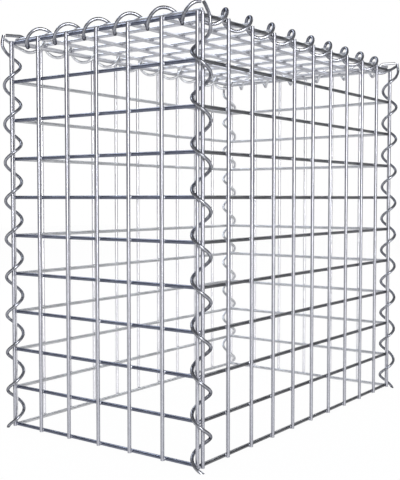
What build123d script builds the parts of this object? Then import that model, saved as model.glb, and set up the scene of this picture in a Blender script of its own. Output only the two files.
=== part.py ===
from build123d import *
import math
import os

# Welded mesh basket with a laced lid, open at the bottom, empty.
# Millimetres, +Z up, X along the long faces, origin under the middle of the basket on the ground.

# Mesh
mesh = 50.0
cells_long = 10
cells_short = 6
cells_high = 10
wire = 4.5

# How far the uprights stand outside the corner lines of the mesh
long_out = 3.4
short_out = 5.2

# Spirals that lace the edges, one turn to a cell
lace_wire = 4.0
coil_radius = 10.4
seat_bearing = 37.0
corner_lead = 7.4
long_lid_lead = 15.0
short_lid_lead = -5.0
sides = 6
steps_per_turn = 10

# Seats and clearances
part_gap = 0.3
lid_rest = 1.0
lid_in_short = 4.0

# Height of the lowest cross wires above the cut ends of the corner spirals
stand = 4.5

# Upper ends of the corner spirals, drawn out towards the lid: bearing, radius as a share of the coil's radius,
# and height over the top row as a share of a cell
straight_from = -0.43
straight_end = [(-45, 0.98, -0.33), (-56, 0.94, -0.23), (-58, 0.90, -0.09), (-50, 0.54, 0.12), (-24, 0.28, 0.248)]
wide_from = -0.23
wide_end = [(248, 1.02, -0.17), (238, 1.17, -0.10), (233, 1.25, -0.01), (232, 1.17, 0.09), (232, 1.04, 0.212)]

# Where the even coil of each lid spiral starts and stops inside its corners, as a share of a cell
long_lace_start = 0.19
long_lace_stop = 0.416
short_lace_start = 0.152
short_lace_stop = -0.02

# Opened ends of the lid spirals: travel from the corner as a share of a cell, angle from outward to up,
# and radius as a share of the coil's radius
long_tail = [(-0.25, -25, 1.02), (-0.08, -5, 1.05), (0.114, 15, 1.135)]
short_lead_in = [(-0.176, 54, 0.96), (0.03, 110, 0.75)]

# Worked out from the sizes above
bar = wire * math.sqrt(math.pi) / 2
half_length = mesh * cells_long / 2
half_width = mesh * cells_short / 2
top_row = stand + mesh * cells_high
long_upright = half_width + long_out
short_upright = half_length + short_out
long_cross = long_upright - bar
short_cross = short_upright - bar
lid_upper = top_row + bar + part_gap
lid_lower = lid_upper - bar
lid_edge_x = half_length - lid_in_short
lid_edge_y = long_cross - bar - part_gap


# A bar of square section with the area of the round wire, along one axis
def bar_along_x(reach, y, z):
    return Pos(0, y, z) * Box(2 * reach, bar, bar)


def bar_along_y(x, reach, z):
    return Pos(x, 0, z) * Box(bar, 2 * reach, bar)


def upright(x, y):
    low = stand - bar / 2
    high = top_row + bar / 2
    return Pos(x, y, (low + high) / 2) * Box(bar, bar, high - low)


def welded(bars):
    return bars[0].fuse(*bars[1:])


def grid(half, cells):
    return [mesh * number - half for number in range(cells + 1)]


rows = [stand + mesh * number for number in range(cells_high + 1)]


# Side panels: uprights outside, cross wires inside, cut back at the corners
def long_panel(side):
    reach = short_cross - bar / 2 - part_gap
    bars = [upright(x, side * long_upright) for x in grid(half_length, cells_long)]
    bars += [bar_along_x(reach, side * long_cross, z) for z in rows]
    return welded(bars)


def short_panel(side):
    reach = long_upright - bar / 2 - part_gap
    bars = [upright(side * short_upright, y) for y in grid(half_width, cells_short)]
    bars += [bar_along_y(side * short_cross, reach, z) for z in rows]
    return welded(bars)


# Lid: its crosswise wires rest on the top wires of the long panels
def lid_panel():
    columns = [-lid_edge_x] + grid(half_length, cells_long)[1:-1] + [lid_edge_x]
    lines = [-lid_edge_y] + grid(half_width, cells_short)[1:-1] + [lid_edge_y]
    bars = [bar_along_y(x, long_cross + lid_rest, lid_upper) for x in columns]
    bars += [bar_along_x(short_cross - bar / 2 - part_gap, y, lid_lower) for y in lines]
    return welded(bars)


# Spiral: straight bars end to end along the helix, mitred where they meet
section_reach = lace_wire / 2 * math.sqrt(2 * math.pi / (sides * math.sin(2 * math.pi / sides)))
coil_inside = coil_radius * math.cos(math.pi / steps_per_turn) - section_reach


def slide_to_plane(points, way, centre, normal):
    return [point + way * ((centre - point).dot(normal) / way.dot(normal)) for point in points]


def mitred_bar(path, first_normal):
    ways = [(after - before).normalized() for before, after in zip(path, path[1:])]
    side = ways[0].cross(Vector(0, 0, 1)).normalized()
    other = ways[0].cross(side)
    bearings = [2 * math.pi * corner / sides for corner in range(sides)]
    ring = [path[0] + (side * math.cos(b) + other * math.sin(b)) * section_reach for b in bearings]
    ring = slide_to_plane(ring, ways[0], path[0], first_normal or ways[0])
    rings = [ring]
    for number, centre in enumerate(path[1:]):
        ahead = ways[min(number + 1, len(ways) - 1)]
        ring = slide_to_plane(ring, ways[number], centre, ways[number] + ahead)
        rings.append(ring)
    return Solid.make_loft([Wire.make_polygon(ring, close=True) for ring in rings], ruled=True)


def helix_points(origin, along, out, up, start, end, lead, turn):
    count = math.ceil((end - start) / mesh * steps_per_turn)
    points = []
    for number in range(count + 1):
        travel = start + (end - start) * number / count
        angle = math.radians(lead) + turn * 2 * math.pi * travel / mesh
        radial = out * math.cos(angle) + up * math.sin(angle)
        points.append(origin + along * travel + radial * coil_radius)
    return points


east = Vector(1, 0, 0)
north = Vector(0, 1, 0)
sky = Vector(0, 0, 1)


# Corner spiral: it leans on the short panel's upright, and the basket stands on its level foot
def corner_spiral(leave, end):
    reach = coil_inside - part_gap
    seat = math.radians(seat_bearing)
    x = -short_upright - bar / 2 + reach * math.cos(seat)
    y = -half_width + bar / 2 - reach * math.sin(seat)
    lead = 180 + corner_lead + 360 * stand / mesh
    path = helix_points(Vector(x, y, 0), sky, east, north, 0, top_row + leave * mesh, lead, -1)
    for bearing, radius, rise in end:
        radial = east * math.cos(math.radians(bearing)) + north * math.sin(math.radians(bearing))
        path.append(Vector(x, y, top_row + rise * mesh) + radial * radius * coil_radius)
    return mitred_bar(path, sky)


# Lid spirals: over the top at each upright, then inside, under and out through the cell
def open_turn(middle, travel, angle, radius):
    radial = -north * math.cos(math.radians(angle)) + sky * math.sin(math.radians(angle))
    return middle + east * travel + radial * radius * coil_radius


def lid_spiral(half_edge, edge_wire, lead, start, stop, lead_in, tail):
    hook = math.sqrt((coil_inside - part_gap) ** 2 - bar ** 2)
    middle = Vector(0, -edge_wire + bar / 2 - hook, (lid_upper + lid_lower) / 2)
    first = 90 + lead + 360 * half_edge / mesh
    before = [open_turn(middle, travel * mesh - half_edge, *turned) for travel, *turned in lead_in]
    coil = helix_points(middle, east, -north, sky, start * mesh - half_edge, half_edge - stop * mesh, first, 1)
    after = [open_turn(middle, travel * mesh + half_edge, *turned) for travel, *turned in tail]
    return mitred_bar(before + coil + after, None)


# Opposite corners and opposite edges are the same piece turned round
left_corner = corner_spiral(straight_from, straight_end)
right_corner = corner_spiral(wide_from, wide_end).mirror(Plane.YZ)
long_coil = (half_length, lid_edge_y, long_lid_lead, long_lace_start, long_lace_stop)
short_coil = (half_width, lid_edge_x, short_lid_lead, short_lace_start, short_lace_stop)
front_lace = lid_spiral(*long_coil, [], long_tail)
right_lace = lid_spiral(*short_coil, short_lead_in, []).rotate(Axis.Z, 90)

pieces = {
    "front_panel": long_panel(-1),
    "back_panel": long_panel(1),
    "left_panel": short_panel(-1),
    "right_panel": short_panel(1),
    "lid_panel": lid_panel(),
    "front_left_spiral": left_corner,
    "front_right_spiral": right_corner,
    "back_left_spiral": right_corner.rotate(Axis.Z, 180),
    "back_right_spiral": left_corner.rotate(Axis.Z, 180),
    "front_lid_spiral": front_lace,
    "right_lid_spiral": right_lace,
    "back_lid_spiral": front_lace.rotate(Axis.Z, 180),
    "left_lid_spiral": right_lace.rotate(Axis.Z, 180),
}

os.makedirs("parts", exist_ok=True)
for name, piece in pieces.items():
    export_step(piece, f"parts/{name}.step")
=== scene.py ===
"""Dresses an empty gabion basket: round zinc wires, weld beads and lacing spirals, in a white studio."""

import logging
import math
from dataclasses import dataclass, field
from enum import Enum

import bpy
import numpy as np
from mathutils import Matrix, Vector

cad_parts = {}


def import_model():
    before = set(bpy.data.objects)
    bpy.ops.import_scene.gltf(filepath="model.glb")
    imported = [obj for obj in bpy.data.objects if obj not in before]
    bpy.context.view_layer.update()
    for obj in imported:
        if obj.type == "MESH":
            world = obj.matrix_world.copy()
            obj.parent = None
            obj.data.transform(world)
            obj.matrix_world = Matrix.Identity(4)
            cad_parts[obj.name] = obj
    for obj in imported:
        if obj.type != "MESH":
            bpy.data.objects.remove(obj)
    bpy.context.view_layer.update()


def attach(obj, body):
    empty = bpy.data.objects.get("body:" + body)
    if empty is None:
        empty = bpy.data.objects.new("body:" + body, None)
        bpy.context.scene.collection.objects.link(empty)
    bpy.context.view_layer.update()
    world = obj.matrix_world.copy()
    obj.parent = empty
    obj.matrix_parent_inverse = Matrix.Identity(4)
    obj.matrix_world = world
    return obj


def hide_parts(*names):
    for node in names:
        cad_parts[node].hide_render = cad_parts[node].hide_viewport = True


LOG = logging.getLogger("gabion_basket")
BODY = "root"

Colour = tuple[float, float, float]
Place = tuple[float, float, float]

# The mesh that every panel shares, in metres
CELL = 0.050
CELLS_LONG = 10
CELLS_SHORT = 6
CELLS_HIGH = 10
HALF_LENGTH = CELL * CELLS_LONG / 2
HALF_WIDTH = CELL * CELLS_SHORT / 2
LOWEST_ROW = 0.0045
TOP_ROW = LOWEST_ROW + CELL * CELLS_HIGH
WIRE_RADIUS = 0.00225

# How the panels fit together. The solids have square bars of the round wire's area, and the bar's width
# spaces the wires
BAR = WIRE_RADIUS * math.sqrt(math.pi)
PART_GAP = 0.0003
LONG_OUT = 0.0034
SHORT_OUT = 0.0052
LONG_UPRIGHT_OUT = HALF_WIDTH + LONG_OUT
SHORT_UPRIGHT_OUT = HALF_LENGTH + SHORT_OUT
LONG_CROSS_REACH = SHORT_UPRIGHT_OUT - BAR - BAR / 2 - PART_GAP
SHORT_CROSS_REACH = LONG_UPRIGHT_OUT - BAR / 2 - PART_GAP

# How the lid lies inside the panels and rests on them, and the spare height that its round wires need
LID_IN_X = 0.004
LID_IN_Y = 0.0052
LID_REST = 0.001
ROUND_SPARE = 0.0003

# Where a wire that ends beside its upright is welded: in from its end, and out from the other welds
END_WELD_IN = 0.0008
END_WELD_OUT = 0.0006

# Sheared wire ends, and the flats that welding presses into a wire
SHEARED_EDGE = 0.0004
FLAT_DEPTH = 0.00034
FLAT_REACH = 0.0042
FLAT_SHARES = (-1.0, -0.6, -0.3, 0.0, 0.3, 0.6, 1.0)
CELL_SHARES = (0.25, 0.5, 0.75)
CREASE = math.radians(38)

# The lacing spirals, one turn to a cell. A corner spiral starts a little below the ground and is cut level
LACE_RADIUS = 0.0020
COIL_RADIUS = 0.0104
TURN = 2 * math.pi / CELL
FOOT_SPARE = 0.004

# How finely bent wire is drawn, where its bends are opened out, and a direction that no wire starts along
BEND_STEP = 0.0018
SHARP_BEND = math.radians(8)
EASING_PASSES = 40
SEAM_HINT = (0.31, 0.27, 0.91)


class Side(Enum):
    """The four upright faces of the basket, each by its outward direction."""

    FRONT = (0.0, -1.0)
    BACK = (0.0, 1.0)
    LEFT = (-1.0, 0.0)
    RIGHT = (1.0, 0.0)

    def outward(self) -> np.ndarray:
        """Returns the unit vector that points out of the basket."""
        return np.array([*self.value, 0.0])

    def along(self) -> np.ndarray:
        """Returns the level unit vector that runs along the face, to the right as seen from outside."""
        return np.array([-self.value[1], self.value[0], 0.0])


class Grain(Enum):
    """Which way the drawing marks of a wire run, as the stretch of its noise along X, Y and Z."""

    UPRIGHT = (900.0, 900.0, 14.0)
    ALONG_X = (14.0, 900.0, 900.0)
    ALONG_Y = (900.0, 14.0, 900.0)
    NONE = (260.0, 260.0, 260.0)


@dataclass(frozen=True)
class ZincFinish:
    """Hot zinc on drawn wire: cloudy patches, fine spangle and faint drawing marks."""

    name: str
    bright: Colour
    dull: Colour
    rim: Colour
    smooth: float
    rough: float
    grain: Grain
    patch_scale: float = 38.0
    patch_detail: float = 4.0
    patch_roughness: float = 0.6
    spangle_scale: float = 620.0
    spangle_share: float = 0.28
    mark_detail: float = 3.0
    mark_share: float = 0.34
    dull_tone: float = 0.34
    bright_tone: float = 0.66
    rough_tone: float = 0.3
    smooth_tone: float = 0.7
    bump: float = 0.10
    bump_height: float = 0.0002
    bump_spangle: float = 0.4
    metallic: float = 1.0

    def material(self) -> bpy.types.Material:
        """Builds the finish as a node material.

        Returns:
            The material, made once for each name.
        """
        if self.name in bpy.data.materials:
            return bpy.data.materials[self.name]
        material = bpy.data.materials.new(self.name)
        material.use_nodes = True
        material.diffuse_color = (*self.bright, 1.0)
        tree = material.node_tree
        tree.nodes.clear()
        add, link = tree.nodes.new, tree.links.new
        output = add("ShaderNodeOutputMaterial")
        shader = add("ShaderNodeBsdfPrincipled")
        shader.inputs["Metallic"].default_value = self.metallic
        shader.inputs["Specular Tint"].default_value = (*self.rim, 1.0)
        link(shader.outputs["BSDF"], output.inputs["Surface"])
        place = add("ShaderNodeTexCoord")

        patches = add("ShaderNodeTexNoise")
        patches.inputs["Scale"].default_value = self.patch_scale
        patches.inputs["Detail"].default_value = self.patch_detail
        patches.inputs["Roughness"].default_value = self.patch_roughness
        link(place.outputs["Object"], patches.inputs["Vector"])

        spangle = add("ShaderNodeTexVoronoi")
        spangle.inputs["Scale"].default_value = self.spangle_scale
        link(place.outputs["Object"], spangle.inputs["Vector"])

        stretch = add("ShaderNodeMapping")
        stretch.inputs["Scale"].default_value = self.grain.value
        link(place.outputs["Object"], stretch.inputs["Vector"])
        marks = add("ShaderNodeTexNoise")
        marks.inputs["Scale"].default_value = 1.0
        marks.inputs["Detail"].default_value = self.mark_detail
        link(stretch.outputs["Vector"], marks.inputs["Vector"])

        tone = self._mixed(tree, patches.outputs["Fac"], spangle.outputs["Color"], self.spangle_share)
        tone = self._mixed(tree, tone, marks.outputs["Fac"], self.mark_share)
        self._colour(tree, tone, shader)
        self._gloss(tree, tone, shader)
        self._relief(tree, marks.outputs["Fac"], spangle.outputs["Distance"], shader)
        return material

    def _mixed(self, tree: bpy.types.NodeTree, first: bpy.types.NodeSocket, second: bpy.types.NodeSocket,
               share: float) -> bpy.types.NodeSocket:
        """Mixes two grey patterns.

        Args:
            tree: The material's nodes.
            first: The pattern that most of the result comes from.
            second: The pattern laid into it.
            share: How much of the second shows, from 0 to 1.

        Returns:
            The socket with the mixed pattern.
        """
        mix = tree.nodes.new("ShaderNodeMix")
        mix.data_type = "FLOAT"
        mix.inputs["Factor"].default_value = share
        tree.links.new(first, mix.inputs["A"])
        tree.links.new(second, mix.inputs["B"])
        return mix.outputs["Result"]

    def _colour(self, tree: bpy.types.NodeTree, tone: bpy.types.NodeSocket, shader: bpy.types.Node) -> None:
        """Colours the wire from dull to bright zinc by the pattern's tone.

        Args:
            tree: The material's nodes.
            tone: The grey pattern.
            shader: The surface that takes the colour.
        """
        ramp = tree.nodes.new("ShaderNodeValToRGB")
        ramp.color_ramp.elements[0].position = self.dull_tone
        ramp.color_ramp.elements[0].color = (*self.dull, 1.0)
        ramp.color_ramp.elements[1].position = self.bright_tone
        ramp.color_ramp.elements[1].color = (*self.bright, 1.0)
        tree.links.new(tone, ramp.inputs["Fac"])
        tree.links.new(ramp.outputs["Color"], shader.inputs["Base Color"])

    def _gloss(self, tree: bpy.types.NodeTree, tone: bpy.types.NodeSocket, shader: bpy.types.Node) -> None:
        """Makes bright patches smoother than dull ones.

        Args:
            tree: The material's nodes.
            tone: The grey pattern.
            shader: The surface that takes the roughness.
        """
        spread = tree.nodes.new("ShaderNodeMapRange")
        spread.inputs["From Min"].default_value = self.rough_tone
        spread.inputs["From Max"].default_value = self.smooth_tone
        spread.inputs["To Min"].default_value = self.rough
        spread.inputs["To Max"].default_value = self.smooth
        tree.links.new(tone, spread.inputs["Value"])
        tree.links.new(spread.outputs["Result"], shader.inputs["Roughness"])

    def _relief(self, tree: bpy.types.NodeTree, marks: bpy.types.NodeSocket, spangle: bpy.types.NodeSocket,
                shader: bpy.types.Node) -> None:
        """Raises the drawing marks and the spangle a little.

        Args:
            tree: The material's nodes.
            marks: The drawing marks.
            spangle: The distance to the nearest crystal's middle.
            shader: The surface that takes the relief.
        """
        bump = tree.nodes.new("ShaderNodeBump")
        bump.inputs["Strength"].default_value = self.bump
        bump.inputs["Distance"].default_value = self.bump_height
        tree.links.new(self._mixed(tree, marks, spangle, self.bump_spangle), bump.inputs["Height"])
        tree.links.new(bump.outputs["Normal"], shader.inputs["Normal"])


# Painted shade: the front and left panels' uprights take a darker copy of the zinc than the back and right
# panels, so that their edges stay dark beside the lamp's highlight.
PAINTED_SHADE_UPRIGHT = ZincFinish("painted_shade_upright_zinc", bright=(0.48, 0.485, 0.53), dull=(0.36, 0.365, 0.41),
                            rim=(0.06, 0.07, 0.10), smooth=0.30, rough=0.42, grain=Grain.UPRIGHT)
# Painted shade: the front and left panels' cross wires take a much darker copy of the zinc, standing in for
# the shade on level wires that catch none of the lamps.
PAINTED_SHADE_CROSS_X = ZincFinish("painted_shade_cross_zinc_long", bright=(0.17, 0.173, 0.185), dull=(0.08, 0.082, 0.09),
                          rim=(1.0, 1.0, 1.0), smooth=0.26, rough=0.40, grain=Grain.ALONG_X)
PAINTED_SHADE_CROSS_Y = ZincFinish("painted_shade_cross_zinc_short", bright=(0.20, 0.215, 0.275), dull=(0.11, 0.12, 0.165),
                          rim=(1.0, 1.0, 1.0), smooth=0.26, rough=0.40, grain=Grain.ALONG_Y)
# Painted light: the back and right panels take paler copies of the same zinc, standing in for the light that
# washes out the far side.
PAINTED_LIGHT_UPRIGHT = ZincFinish("painted_light_upright_zinc", bright=(0.92, 0.92, 0.95), dull=(0.74, 0.74, 0.78),
                          rim=(0.3, 0.3, 0.34), smooth=0.28, rough=0.42, grain=Grain.UPRIGHT)
PAINTED_LIGHT_CROSS_X = ZincFinish("painted_light_cross_zinc_long", bright=(0.66, 0.67, 0.69), dull=(0.46, 0.465, 0.48),
                          rim=(0.3, 0.3, 0.34), smooth=0.34, rough=0.50, grain=Grain.ALONG_X)
PAINTED_LIGHT_CROSS_Y = ZincFinish("painted_light_cross_zinc_short", bright=(0.68, 0.69, 0.72), dull=(0.48, 0.485, 0.51),
                          rim=(0.3, 0.3, 0.34), smooth=0.34, rough=0.50, grain=Grain.ALONG_Y)
# Painted light: the lid takes a paler copy of the same zinc, as the back and right panels do.
PAINTED_LIGHT_LID_X = ZincFinish("painted_light_lid_zinc_long", bright=(0.74, 0.745, 0.78), dull=(0.56, 0.565, 0.60),
                        rim=(0.2, 0.2, 0.24), smooth=0.30, rough=0.46, grain=Grain.ALONG_X)
PAINTED_LIGHT_LID_Y = ZincFinish("painted_light_lid_zinc_short", bright=(0.78, 0.79, 0.84), dull=(0.60, 0.61, 0.65),
                        rim=(0.2, 0.2, 0.24), smooth=0.30, rough=0.46, grain=Grain.ALONG_Y)
# Painted shade: the front and left panels' welds take a darker copy of the weld zinc.
PAINTED_SHADE_WELD = ZincFinish("painted_shade_weld_zinc", bright=(0.50, 0.51, 0.56), dull=(0.30, 0.31, 0.35),
                         rim=(0.2, 0.2, 0.24), smooth=0.30, rough=0.50, grain=Grain.NONE, bump=0.25)
# Painted light: the back and right panels' welds and the lid's welds take a paler copy of it.
PAINTED_LIGHT_WELD = ZincFinish("painted_light_weld_zinc", bright=(0.70, 0.70, 0.73), dull=(0.50, 0.50, 0.54),
                       rim=(0.3, 0.3, 0.34), smooth=0.34, rough=0.55, grain=Grain.NONE, bump=0.25)
# Painted shade: the spirals on the front and left take a darker copy of the zinc, with a dark rim tint, for
# dark outlines round the lamp's highlight.
PAINTED_SHADE_SPIRAL = ZincFinish("painted_shade_spiral_zinc", bright=(0.44, 0.45, 0.50), dull=(0.18, 0.184, 0.205),
                         rim=(0.02, 0.02, 0.03), smooth=0.20, rough=0.32, grain=Grain.NONE,
                         patch_scale=60.0)
# Painted light: the spirals on the back and right take a paler copy of the same zinc.
PAINTED_LIGHT_SPIRAL = ZincFinish("painted_light_spiral_zinc", bright=(0.76, 0.77, 0.80), dull=(0.54, 0.545, 0.57),
                         rim=(0.2, 0.2, 0.22), smooth=0.28, rough=0.42, grain=Grain.NONE,
                         patch_scale=60.0)


@dataclass(frozen=True)
class Weld:
    """The metal squeezed out of a weld: its size, and how uneven it is."""

    spread: float
    depth: float
    spread_play: float = 0.12
    depth_play: float = 0.2
    lobe: float = 0.10
    ripple: float = 0.05
    sides: int = 12
    tilts: tuple[int, ...] = (-72, -36, 0, 36, 72)


CROSSING_WELD = Weld(spread=0.0028, depth=0.0011)
END_WELD = Weld(spread=0.0006, depth=0.00055)


@dataclass
class WireMesh:
    """Gathers round wires and weld beads, and makes one piece of them."""

    name: str
    sides: int = 16
    points: list[np.ndarray] = field(default_factory=list)
    faces: list[tuple[int, ...]] = field(default_factory=list)
    count: int = 0

    def _append(self, block: np.ndarray) -> int:
        """Adds points to the piece.

        Args:
            block: The new points.

        Returns:
            The number of the first of them.
        """
        first = self.count
        self.points.append(block)
        self.count += len(block)
        return first

    def _skin(self, rings: np.ndarray) -> None:
        """Joins rings of points into a closed tube with a flat cap at each end.

        Args:
            rings: Points by ring and by side, from one end of the wire to the other.
        """
        number, sides = rings.shape[:2]
        first = self._append(rings.reshape(-1, 3))
        for ring in range(number - 1):
            low = first + ring * sides
            for side in range(sides):
                after = (side + 1) % sides
                self.faces.append((low + side, low + after, low + sides + after, low + sides + side))
        ends = self._append(np.array([rings[0].mean(axis=0), rings[-1].mean(axis=0)]))
        last = first + (number - 1) * sides
        for side in range(sides):
            after = (side + 1) % sides
            self.faces.append((ends, first + after, first + side))
            self.faces.append((ends + 1, last + side, last + after))

    def add_straight(self, start: np.ndarray, end: np.ndarray, outer: np.ndarray, radius: float,
                     welds: list[float]) -> None:
        """Adds a straight wire with a sheared edge at its ends and a flat where each weld pressed it.

        Args:
            start: The middle of one end.
            end: The middle of the other end.
            outer: The unit vector away from the wires that it's welded to.
            radius: The wire's radius.
            welds: How far along it each weld is.
        """
        length = float(np.linalg.norm(end - start))
        way = (end - start) / length
        stations = {SHEARED_EDGE, length - SHEARED_EDGE}
        for weld in welds:
            stations.update(weld + FLAT_REACH * share for share in FLAT_SHARES)
            stations.update(weld + CELL * share for share in CELL_SHARES)
        kept = sorted(station for station in stations if SHEARED_EDGE <= station <= length - SHEARED_EDGE)
        places = np.array([0.0, *kept, length])
        radii = np.full(len(places), radius)
        radii[[0, -1]] -= SHEARED_EDGE
        nearest = np.min(np.abs(places[:, None] - np.array(welds)[None, :]), axis=1)
        depth = FLAT_DEPTH * (1 + np.cos(np.pi * np.clip(nearest / FLAT_REACH, 0, 1))) / 2
        turns = np.linspace(0, 2 * math.pi, self.sides, endpoint=False)
        across = np.cross(way, outer)
        out_part = np.minimum(radii[:, None] * np.cos(turns)[None, :], (radius - depth)[:, None])
        side_part = radii[:, None] * np.sin(turns)[None, :]
        middles = start[None, :] + places[:, None] * way[None, :]
        rings = middles[:, None, :] + out_part[..., None] * outer + side_part[..., None] * across
        self._skin(rings)

    def add_bent(self, path: np.ndarray, radius: float, ground: float | None = None) -> None:
        """Adds a bent wire along a line of points.

        Args:
            path: The points along its middle.
            radius: The wire's radius.
            ground: The level that its first end is cut to, or None for a square cut.
        """
        ways = np.gradient(path, axis=0)
        ways /= np.linalg.norm(ways, axis=1)[:, None]
        normal = np.cross(ways[0], SEAM_HINT)
        normals = []
        for way in ways:
            normal = normal - way * normal.dot(way)
            normal = normal / np.linalg.norm(normal)
            normals.append(normal)
        normals = np.array(normals)
        others = np.cross(ways, normals)
        turns = np.linspace(0, 2 * math.pi, self.sides, endpoint=False)
        around = (normals[:, None, :] * np.cos(turns)[None, :, None]
                  + others[:, None, :] * np.sin(turns)[None, :, None])
        rings = path[:, None, :] + around * radius
        if ground is not None:
            rings = self._cut_level(rings, ground)
        self._skin(rings)

    @staticmethod
    def _cut_level(rings: np.ndarray, ground: float) -> np.ndarray:
        """Cuts the start of a rising wire level with the ground.

        Args:
            rings: Points by ring and by side, the first rings below the ground.
            ground: The level of the cut.

        Returns:
            The rings from the cut on.
        """
        whole = int(np.argmax(rings[:, :, 2].min(axis=1) > ground))
        cut = []
        for line in rings[:whole + 1].transpose(1, 0, 2):
            low = int(np.flatnonzero(line[:, 2] <= ground)[-1])
            share = (ground - line[low, 2]) / (line[low + 1, 2] - line[low, 2])
            cut.append(line[low] + share * (line[low + 1] - line[low]))
        return np.concatenate([np.array(cut)[None], rings[whole:]])

    def add_bead(self, middle: np.ndarray, through: np.ndarray, along: np.ndarray, draw: np.random.Generator,
                 weld: Weld = CROSSING_WELD) -> None:
        """Adds the metal squeezed out between two welded wires.

        Args:
            middle: The middle of the weld.
            through: The unit vector from one wire to the other.
            along: The unit vector along one of the wires.
            draw: The source of its small differences.
            weld: How large and how uneven it is.
        """
        across = np.cross(through, along)
        reach = weld.spread * (1 + weld.spread_play * draw.uniform(-1, 1, 2))
        thick = weld.depth * (1 + weld.depth_play * draw.uniform(-1, 1))
        turns = np.linspace(0, 2 * math.pi, weld.sides, endpoint=False)
        lobes = 1 + weld.lobe * np.cos(4 * turns + math.pi) + weld.ripple * draw.uniform(-1, 1, weld.sides)
        rings = []
        for tilt in np.radians(weld.tilts):
            flat = math.cos(tilt) * lobes
            rings.append(middle + (flat * reach[0] * np.cos(turns))[:, None] * along
                         + (flat * reach[1] * np.sin(turns))[:, None] * across
                         + through * thick * math.sin(tilt))
        self._skin(np.array(rings))

    def piece(self, finish: ZincFinish) -> bpy.types.Object:
        """Makes the gathered wires into a piece that rides on the basket.

        Args:
            finish: The zinc finish that they have.

        Returns:
            The new object.
        """
        mesh = bpy.data.meshes.new(self.name)
        mesh.from_pydata(np.concatenate(self.points).tolist(), [], self.faces)
        mesh.validate()
        mesh.shade_smooth()
        mesh.set_sharp_from_angle(angle=CREASE)
        mesh.materials.append(finish.material())
        made = bpy.data.objects.new(self.name, mesh)
        bpy.context.scene.collection.objects.link(made)
        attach(made, BODY)
        triangles = sum(len(face.vertices) - 2 for face in mesh.polygons)
        LOG.info("%s: %d triangles", self.name, triangles)
        return made


@dataclass
class SidePanel:
    """A welded mesh panel on one side of the basket, its uprights outside and its cross wires inside."""

    node: str
    side: Side
    half: float
    upright_out: float
    cross_reach: float
    upright_finish: ZincFinish
    cross_finish: ZincFinish
    weld_finish: ZincFinish
    seed: int
    low_end: float = LOWEST_ROW - BAR / 2
    high_end: float = TOP_ROW + BAR / 2

    @property
    def cross_out(self) -> float:
        """Returns how far out the cross wires lie: one bar inside the uprights."""
        return self.upright_out - BAR

    def columns(self) -> list[float]:
        """Returns how far along the face each upright stands from its middle."""
        cells = round(2 * self.half / CELL)
        return [CELL * number - self.half for number in range(cells + 1)]

    def rows(self) -> list[float]:
        """Returns the height of each cross wire."""
        return [LOWEST_ROW + CELL * number for number in range(CELLS_HIGH + 1)]

    def point(self, along: float, out: float, height: float) -> np.ndarray:
        """Gives a place on the face.

        Args:
            along: How far along the face from its middle.
            out: How far out from the basket's middle.
            height: How far above the ground.

        Returns:
            The place in the basket's own frame.
        """
        return self.side.along() * along + self.side.outward() * out + np.array([0.0, 0.0, height])

    def build(self) -> None:
        """Makes the panel's uprights, cross wires and weld beads."""
        outward = self.side.outward()
        uprights = WireMesh(f"{self.node}_uprights")
        for column in self.columns():
            uprights.add_straight(self.point(column, self.upright_out, self.low_end),
                                  self.point(column, self.upright_out, self.high_end),
                                  outward, WIRE_RADIUS, [row - self.low_end for row in self.rows()])
        self.dress(uprights, self.upright_finish, replaces=True)
        cross_wires = WireMesh(f"{self.node}_cross_wires")
        crossings = [column + self.cross_reach for column in self.columns()]
        for row in self.rows():
            cross_wires.add_straight(self.point(-self.cross_reach, self.cross_out, row),
                                     self.point(self.cross_reach, self.cross_out, row),
                                     -outward, WIRE_RADIUS, crossings)
        self.dress(cross_wires, self.cross_finish)
        welds = WireMesh(f"{self.node}_welds")
        draw = np.random.default_rng(self.seed)
        middle = (self.upright_out + self.cross_out) / 2
        upward = np.array([0.0, 0.0, 1.0])
        for column in self.columns():
            for row in self.rows():
                if abs(column) < self.cross_reach:
                    welds.add_bead(self.point(column, middle, row), outward, upward, draw)
                else:
                    end = math.copysign(self.cross_reach - END_WELD_IN, column)
                    place = self.point(end, middle + END_WELD_OUT, row)
                    welds.add_bead(place, outward, upward, draw, END_WELD)
        self.dress(welds, self.weld_finish)

    def dress(self, wires: WireMesh, finish: ZincFinish, replaces: bool = False) -> None:
        """Finishes one set of the panel's wires.

        Args:
            wires: The gathered wires.
            finish: The zinc that they have.
            replaces: Whether this set stands for the plain panel.
        """
        made = wires.piece(finish)
        if replaces:
            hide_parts(self.node)


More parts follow.
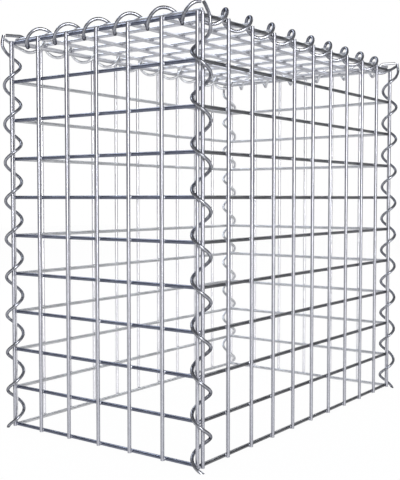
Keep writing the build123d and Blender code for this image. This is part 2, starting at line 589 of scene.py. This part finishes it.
@dataclass
class LidPanel:
    """The mesh lid: crosswise wires on top, long wires under them.

    Round wires need more room than the solids' bars. So the lid's upper wires lie a little higher here than
    in the solid, and its outer long wires a little further in.
    """

    node: str = "lid_panel"
    lower: float = TOP_ROW + PART_GAP
    upper: float = TOP_ROW + PART_GAP + BAR + ROUND_SPARE
    edge_x: float = HALF_LENGTH - LID_IN_X
    edge_y: float = HALF_WIDTH - LID_IN_Y
    reach_x: float = LONG_CROSS_REACH
    reach_y: float = LONG_UPRIGHT_OUT - BAR + LID_REST
    seed: int = 5

    def columns(self) -> list[float]:
        """Returns where the crosswise wires lie along the basket."""
        inner = [CELL * number - HALF_LENGTH for number in range(1, CELLS_LONG)]
        return [-self.edge_x, *inner, self.edge_x]

    def lines(self) -> list[float]:
        """Returns where the long wires lie across the basket."""
        inner = [CELL * number - HALF_WIDTH for number in range(1, CELLS_SHORT)]
        return [-self.edge_y, *inner, self.edge_y]

    def build(self) -> None:
        """Makes the lid's crosswise wires, long wires and weld beads."""
        up = np.array([0.0, 0.0, 1.0])
        crosswise = WireMesh("lid_panel_crosswise_wires")
        for x in self.columns():
            crosswise.add_straight(np.array([x, -self.reach_y, self.upper]),
                                   np.array([x, self.reach_y, self.upper]),
                                   up, WIRE_RADIUS, [y + self.reach_y for y in self.lines()])
        self.dress(crosswise, PAINTED_LIGHT_LID_Y, replaces=True)
        long_wires = WireMesh("lid_panel_long_wires")
        for y in self.lines():
            long_wires.add_straight(np.array([-self.reach_x, y, self.lower]),
                                    np.array([self.reach_x, y, self.lower]),
                                    -up, WIRE_RADIUS, [x + self.reach_x for x in self.columns()])
        self.dress(long_wires, PAINTED_LIGHT_LID_X)
        welds = WireMesh("lid_panel_welds")
        draw = np.random.default_rng(self.seed)
        middle = (self.upper + self.lower) / 2
        for x in self.columns():
            for y in self.lines():
                welds.add_bead(np.array([x, y, middle]), up, np.array([1.0, 0.0, 0.0]), draw)
        self.dress(welds, PAINTED_LIGHT_WELD)

    def dress(self, wires: WireMesh, finish: ZincFinish, replaces: bool = False) -> None:
        """Finishes one set of the lid's wires.

        Args:
            wires: The gathered wires.
            finish: The zinc that they have.
            replaces: Whether this set stands for the plain lid.
        """
        made = wires.piece(finish)
        if replaces:
            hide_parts(self.node)


@dataclass
class Spiral:
    """What the corner spirals and the lid spirals share: a coiled wire, one turn to a cell."""

    node: str
    finish: ZincFinish
    turn_steps: int = 48

    def path(self) -> np.ndarray:
        """Returns the points along the wire's middle."""
        raise NotImplementedError

    def coil(self, start: float, end: float, lead: float, turn: int) -> tuple[np.ndarray, np.ndarray]:
        """Works out the coil's travel and the angle at each point.

        Args:
            start: Where it starts along its axis.
            end: Where it ends along its axis.
            lead: Its angle in degrees at zero travel.
            turn: 1 or -1, for the hand of the coil.

        Returns:
            The travel and the angle in radians of each point.
        """
        count = math.ceil((end - start) / CELL * self.turn_steps)
        travel = np.linspace(start, end, count + 1)
        return travel, math.radians(lead) + turn * TURN * travel

    def joined(self, runs: list[np.ndarray]) -> np.ndarray:
        """Joins the even coil and its drawn-out ends with smooth bends.

        Args:
            runs: The points of each run in order: few for an end, many for the coil.

        Returns:
            Fine points along the whole wire.
        """
        points = np.concatenate(runs)
        points = np.stack([2 * points[0] - points[1], *points, 2 * points[-1] - points[-2]])
        fine = [points[1]]
        for number in range(1, len(points) - 2):
            four = points[number - 1:number + 3]
            gaps = np.sqrt(np.linalg.norm(np.diff(four, axis=0), axis=1))
            tangent_in = self._bend(four[:3], gaps[:2]) * gaps[1]
            tangent_out = self._bend(four[1:], gaps[1:]) * gaps[1]
            pieces = max(1, math.ceil(float(np.linalg.norm(four[2] - four[1])) / BEND_STEP))
            for share in np.arange(1, pieces + 1) / pieces:
                fine.append((2 * share**3 - 3 * share**2 + 1) * four[1]
                            + (share**3 - 2 * share**2 + share) * tangent_in
                            + (3 * share**2 - 2 * share**3) * four[2]
                            + (share**3 - share**2) * tangent_out)
        return self._eased(np.array(fine))

    @staticmethod
    def _eased(fine: np.ndarray) -> np.ndarray:
        """Opens out the bends that are too sharp for the wire.

        Args:
            fine: Points along the wire.

        Returns:
            The points, moved a little where the wire bent sharply.
        """
        for _ in range(EASING_PASSES):
            ways = np.diff(fine, axis=0)
            ways /= np.linalg.norm(ways, axis=1)[:, None]
            sharp = np.sum(ways[1:] * ways[:-1], axis=1) < math.cos(SHARP_BEND)
            moved = (fine[:-2] + fine[2:] - 2 * fine[1:-1]) / 4
            fine[1:-1][sharp] += moved[sharp]
        return fine

    @staticmethod
    def _bend(three: np.ndarray, gaps: np.ndarray) -> np.ndarray:
        """Gives the wire's direction at the middle one of three points.

        Args:
            three: The points.
            gaps: The spacing before and after the middle one.

        Returns:
            The direction, as travel for each unit of spacing.
        """
        before, after = gaps
        return ((three[1] - three[0]) / before - (three[2] - three[0]) / (before + after)
                + (three[2] - three[1]) / after)

    def dress(self, ground: float | None = None) -> None:
        """Makes the wire and gives it its zinc.

        Args:
            ground: The level that the wire's first end is cut to, or None.
        """
        wire = WireMesh(f"{self.node}_wire", sides=14)
        wire.add_bent(self.path(), LACE_RADIUS, ground)
        made = wire.piece(self.finish)
        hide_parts(self.node)


class CornerEnd(Enum):
    """How a corner spiral's upper end is drawn out towards the lid.

    Each value is the share of a cell at which it leaves the even coil, then its points: bearing in degrees,
    radius as a share of the coil's and height over the top row as a share of a cell.
    """

    STRAIGHT = (-0.43, (-45, 0.98, -0.33), (-56, 0.94, -0.23), (-58, 0.90, -0.09), (-50, 0.54, 0.12),
                (-24, 0.28, 0.248))
    WIDE = (-0.23, (248, 1.02, -0.17), (238, 1.17, -0.10), (233, 1.25, -0.01), (232, 1.17, 0.09),
            (232, 1.04, 0.212))


@dataclass
class CornerSpiral(Spiral):
    """A spiral that laces an upright corner. It stands on its cut foot."""

    end: CornerEnd = CornerEnd.STRAIGHT
    flip_x: float = 1.0
    flip_y: float = 1.0
    axis: tuple[float, float] = (-0.251290, -0.152455)
    lead: float = 219.8

    def path(self) -> np.ndarray:
        """Works out the line of the wire, from its foot to its top.

        Returns:
            The points along its middle.
        """
        leave, *turns = self.end.value
        height, angle = self.coil(-FOOT_SPARE, TOP_ROW + leave * CELL, self.lead, -1)
        bearings, radii, heights = np.array(turns).T
        coil = self.around(angle, np.full(len(angle), COIL_RADIUS), height)
        drawn = self.around(np.radians(bearings), COIL_RADIUS * radii, TOP_ROW + CELL * heights)
        return self.joined([coil, drawn]) * np.array([self.flip_x, self.flip_y, 1.0])

    def around(self, angle: np.ndarray, radius: np.ndarray, height: np.ndarray) -> np.ndarray:
        """Gives points around the corner's axis.

        Args:
            angle: The bearing in radians from the +X direction.
            radius: The distance from the axis.
            height: The height above the ground.

        Returns:
            The points, for the front left corner.
        """
        x = self.axis[0] + radius * np.cos(angle)
        y = self.axis[1] + radius * np.sin(angle)
        return np.stack([x, y, height], axis=1)

    def build(self) -> None:
        """Makes the spiral with its foot level with the ground."""
        self.dress(ground=0.0)


@dataclass
class LidSpiral(Spiral):
    """A spiral that laces one edge of the lid to the panel under it. Its ends open out at the corners."""

    side: Side = Side.FRONT
    half: float = HALF_LENGTH
    axis_out: float = 0.149354
    axis_height: float = 0.506794
    lead: float = 105.0
    start: float = 0.19
    stop: float = 0.416
    lead_in: tuple[Place, ...] = ()
    tail: tuple[Place, ...] = ()

    def around(self, travel: np.ndarray, angle: np.ndarray, radius: np.ndarray) -> np.ndarray:
        """Gives points around the spiral's axis.

        Args:
            travel: How far along the edge from its middle.
            angle: The angle in radians from outward to up.
            radius: The distance from the axis.

        Returns:
            The points in the basket's own frame.
        """
        outward = (self.axis_out + radius * np.cos(angle))[:, None] * self.side.outward()
        upward = (self.axis_height + radius * np.sin(angle))[:, None] * np.array([0.0, 0.0, 1.0])
        return travel[:, None] * self.side.along() + outward + upward

    def opened(self, turns: tuple[Place, ...], corner: float) -> np.ndarray:
        """Gives the points of an opened end.

        Args:
            turns: Travel from the corner as a share of a cell, angle in degrees and radius as a share of the
                coil's.
            corner: Where the corner is along the edge.

        Returns:
            The points in the basket's own frame.
        """
        if not turns:
            return np.zeros((0, 3))
        shares = np.array(turns)
        travel = corner + CELL * shares[:, 0]
        return self.around(travel, np.radians(shares[:, 1]), COIL_RADIUS * shares[:, 2])

    def path(self) -> np.ndarray:
        """Works out the line of the wire, left to right as seen from outside.

        Returns:
            The points along its middle.
        """
        travel, angle = self.coil(self.start * CELL - self.half, self.half - self.stop * CELL,
                                  self.lead + math.degrees(TURN * self.half), 1)
        coil = self.around(travel, angle, np.full(len(travel), COIL_RADIUS))
        return self.joined([self.opened(self.lead_in, -self.half), coil, self.opened(self.tail, self.half)])

    def build(self) -> None:
        """Makes the spiral with square ends."""
        self.dress()


@dataclass(frozen=True)
class Lamp:
    """A soft rectangular lamp, unseen itself."""

    name: str
    place: Place
    aim: Place
    width: float
    height: float
    power: float
    colour: Colour = (1.0, 1.0, 1.0)

    def hang(self) -> None:
        """Adds the lamp to the scene, turned to what it lights."""
        light = bpy.data.lights.new(self.name, "AREA")
        light.shape = "RECTANGLE"
        light.size = self.width
        light.size_y = self.height
        light.energy = self.power
        light.color = self.colour
        lamp = bpy.data.objects.new(self.name, light)
        lamp.location = self.place
        lamp.visible_camera = False
        lamp.rotation_euler = (Vector(self.aim) - Vector(self.place)).to_track_quat("-Z", "Y").to_euler()
        bpy.context.scene.collection.objects.link(lamp)


@dataclass
class Studio:
    """The white room: floor, lamps and camera."""

    floor_reach: float = 6.0
    floor_colour: Colour = (0.9, 0.9, 0.9)
    floor_white: float = 0.97
    room_colour: Colour = (0.94, 0.96, 1.0)
    room_light: float = 0.65
    camera_place: Place = (-0.98775, -0.69015, 0.30318)
    camera_way: Place = (0.805692, 0.590222, -0.04998)
    lens: float = 62.31
    near_clip: float = 0.01
    side_level: float = 0.30
    side_cosine: float = 0.45
    behind_cosine: float = 0.90
    lamps: tuple[Lamp, ...] = (
        Lamp("key_lamp", place=(-1.95, -2.41, 0.78), aim=(0.0, 0.0, 0.40), width=0.8, height=1.5, power=62.0),
        Lamp("left_rim_lamp", place=(-0.03, 1.75, 2.35), aim=(-0.25, 0.0, 0.3), width=2.2, height=0.9,
             power=31.0, colour=(0.86, 0.92, 1.0)),
        Lamp("front_rim_lamp", place=(2.4, -0.15, 2.1), aim=(0.0, -0.15, 0.3), width=2.0, height=0.9,
             power=24.0, colour=(0.94, 0.97, 1.0)),
    )

    def set_up(self) -> None:
        """Builds the floor, world, lamps and camera."""
        self._lay_floor()
        self._fill_world()
        for lamp in self.lamps:
            lamp.hang()
        self._place_camera()
        bpy.context.scene.view_settings.view_transform = "Standard"

    def _seen_white(self, tree: bpy.types.NodeTree) -> bpy.types.NodeSocket:
        """Finds the rays that show the background: the camera's, and those mirrored or passed on.

        Args:
            tree: The nodes of the floor or the world.

        Returns:
            The socket that is 1 for such a ray.
        """
        rays = tree.nodes.new("ShaderNodeLightPath")
        seen = rays.outputs["Is Camera Ray"]
        for name in ("Is Glossy Ray", "Is Transmission Ray"):
            either = tree.nodes.new("ShaderNodeMath")
            either.operation = "MAXIMUM"
            tree.links.new(seen, either.inputs[0])
            tree.links.new(rays.outputs[name], either.inputs[1])
            seen = either.outputs["Value"]
        return seen

    def _lay_floor(self) -> None:
        """Lays the pale floor, which keeps a faint shadow of the basket."""
        reach = self.floor_reach
        mesh = bpy.data.meshes.new("studio_floor")
        corners = [(-reach, -reach, 0.0), (reach, -reach, 0.0), (reach, reach, 0.0), (-reach, reach, 0.0)]
        mesh.from_pydata(corners, [], [(0, 1, 2, 3)])
        material = bpy.data.materials.new("studio_floor")
        material.use_nodes = True
        tree = material.node_tree
        tree.nodes.clear()
        output = tree.nodes.new("ShaderNodeOutputMaterial")
        pale = tree.nodes.new("ShaderNodeBsdfDiffuse")
        pale.inputs["Color"].default_value = (*self.floor_colour, 1.0)
        white = tree.nodes.new("ShaderNodeEmission")
        white.inputs["Color"].default_value = (1.0, 1.0, 1.0, 1.0)
        share = tree.nodes.new("ShaderNodeMath")
        share.operation = "MULTIPLY"
        share.inputs[1].default_value = self.floor_white
        blend = tree.nodes.new("ShaderNodeMixShader")
        tree.links.new(self._seen_white(tree), share.inputs[0])
        tree.links.new(share.outputs["Value"], blend.inputs["Fac"])
        tree.links.new(pale.outputs["BSDF"], blend.inputs[1])
        tree.links.new(white.outputs["Emission"], blend.inputs[2])
        tree.links.new(blend.outputs["Shader"], output.inputs["Surface"])
        mesh.materials.append(material)
        floor = bpy.data.objects.new("studio_floor", mesh)
        bpy.context.scene.collection.objects.link(floor)

    def _fill_world(self) -> None:
        """Makes the room white where it is seen, and softer where it lights."""
        world = bpy.data.worlds.new("studio_world")
        bpy.context.scene.world = world
        world.use_nodes = True
        tree = world.node_tree
        tree.nodes.clear()
        output = tree.nodes.new("ShaderNodeOutputWorld")
        soft = tree.nodes.new("ShaderNodeBackground")
        soft.inputs["Color"].default_value = (*self.room_colour, 1.0)
        soft.inputs["Strength"].default_value = self.room_light
        white = tree.nodes.new("ShaderNodeBackground")
        white.inputs["Color"].default_value = (1.0, 1.0, 1.0, 1.0)
        tree.links.new(self._backdrop(tree), white.inputs["Strength"])
        blend = tree.nodes.new("ShaderNodeMixShader")
        tree.links.new(self._seen_white(tree), blend.inputs["Fac"])
        tree.links.new(soft.outputs["Background"], blend.inputs[1])
        tree.links.new(white.outputs["Background"], blend.inputs[2])
        tree.links.new(blend.outputs["Shader"], output.inputs["Surface"])

    def _backdrop(self, tree: bpy.types.NodeTree) -> bpy.types.NodeSocket:
        """Sets how white the room is each way: full behind the basket, softer at its sides.

        Args:
            tree: The world's nodes.

        Returns:
            The socket with the room's strength, always 1 where the camera sees it.
        """
        way = tree.nodes.new("ShaderNodeTexCoord")
        toward = tree.nodes.new("ShaderNodeVectorMath")
        toward.operation = "DOT_PRODUCT"
        toward.inputs[1].default_value = self.camera_way
        tree.links.new(way.outputs["Generated"], toward.inputs[0])
        spread = tree.nodes.new("ShaderNodeMapRange")
        spread.interpolation_type = "SMOOTHSTEP"
        spread.inputs["From Min"].default_value = self.side_cosine
        spread.inputs["From Max"].default_value = self.behind_cosine
        spread.inputs["To Min"].default_value = self.side_level
        spread.inputs["To Max"].default_value = 1.0
        tree.links.new(toward.outputs["Value"], spread.inputs["Value"])
        rays = tree.nodes.new("ShaderNodeLightPath")
        level = tree.nodes.new("ShaderNodeMath")
        level.operation = "MAXIMUM"
        tree.links.new(spread.outputs["Result"], level.inputs[0])
        tree.links.new(rays.outputs["Is Camera Ray"], level.inputs[1])
        return level.outputs["Value"]

    def _place_camera(self) -> None:
        """Puts the camera where the photograph was taken from."""
        data = bpy.data.cameras.new("camera")
        data.lens = self.lens
        data.clip_start = self.near_clip
        camera = bpy.data.objects.new("camera", data)
        camera.location = self.camera_place
        camera.rotation_euler = Vector(self.camera_way).to_track_quat("-Z", "Y").to_euler()
        bpy.context.scene.collection.objects.link(camera)
        bpy.context.scene.camera = camera


def build_basket() -> None:
    """Builds every panel and spiral of the basket in order."""
    long_sizes = dict(half=HALF_LENGTH, upright_out=LONG_UPRIGHT_OUT, cross_reach=LONG_CROSS_REACH)
    short_sizes = dict(half=HALF_WIDTH, upright_out=SHORT_UPRIGHT_OUT, cross_reach=SHORT_CROSS_REACH)
    # The front and left faces take the darker zinc copies, painted shade, and the back and right faces the
    # paler ones, painted light.
    near = dict(upright_finish=PAINTED_SHADE_UPRIGHT, weld_finish=PAINTED_SHADE_WELD)
    far = dict(upright_finish=PAINTED_LIGHT_UPRIGHT, weld_finish=PAINTED_LIGHT_WELD)
    SidePanel("front_panel", Side.FRONT, cross_finish=PAINTED_SHADE_CROSS_X, seed=1, **near, **long_sizes).build()
    SidePanel("back_panel", Side.BACK, cross_finish=PAINTED_LIGHT_CROSS_X, seed=2, **far, **long_sizes).build()
    SidePanel("left_panel", Side.LEFT, cross_finish=PAINTED_SHADE_CROSS_Y, seed=3, **near, **short_sizes).build()
    SidePanel("right_panel", Side.RIGHT, cross_finish=PAINTED_LIGHT_CROSS_Y, seed=4, **far, **short_sizes).build()
    LidPanel().build()
    CornerSpiral("front_left_spiral", PAINTED_SHADE_SPIRAL).build()
    CornerSpiral("front_right_spiral", PAINTED_SHADE_SPIRAL, end=CornerEnd.WIDE, flip_x=-1.0).build()
    CornerSpiral("back_left_spiral", PAINTED_SHADE_SPIRAL, end=CornerEnd.WIDE, flip_y=-1.0).build()
    CornerSpiral("back_right_spiral", PAINTED_LIGHT_SPIRAL, flip_x=-1.0, flip_y=-1.0).build()
    long_edge = dict(tail=((-0.25, -25, 1.02), (-0.08, -5, 1.05), (0.114, 15, 1.135)))
    short_edge = dict(half=HALF_WIDTH, axis_out=0.250230, lead=85.0, start=0.152, stop=-0.02,
                      lead_in=((-0.176, 54, 0.96), (0.03, 110, 0.75)))
    LidSpiral("front_lid_spiral", PAINTED_SHADE_SPIRAL, side=Side.FRONT, **long_edge).build()
    LidSpiral("right_lid_spiral", PAINTED_LIGHT_SPIRAL, side=Side.RIGHT, **short_edge).build()
    LidSpiral("back_lid_spiral", PAINTED_LIGHT_SPIRAL, side=Side.BACK, **long_edge).build()
    LidSpiral("left_lid_spiral", PAINTED_SHADE_SPIRAL, side=Side.LEFT, **short_edge).build()


def main() -> None:
    """Loads the frame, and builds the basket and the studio."""
    logging.basicConfig(level=logging.INFO, format="%(name)s: %(message)s")
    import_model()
    build_basket()
    Studio().set_up()


if __name__ == "__main__":
    main()
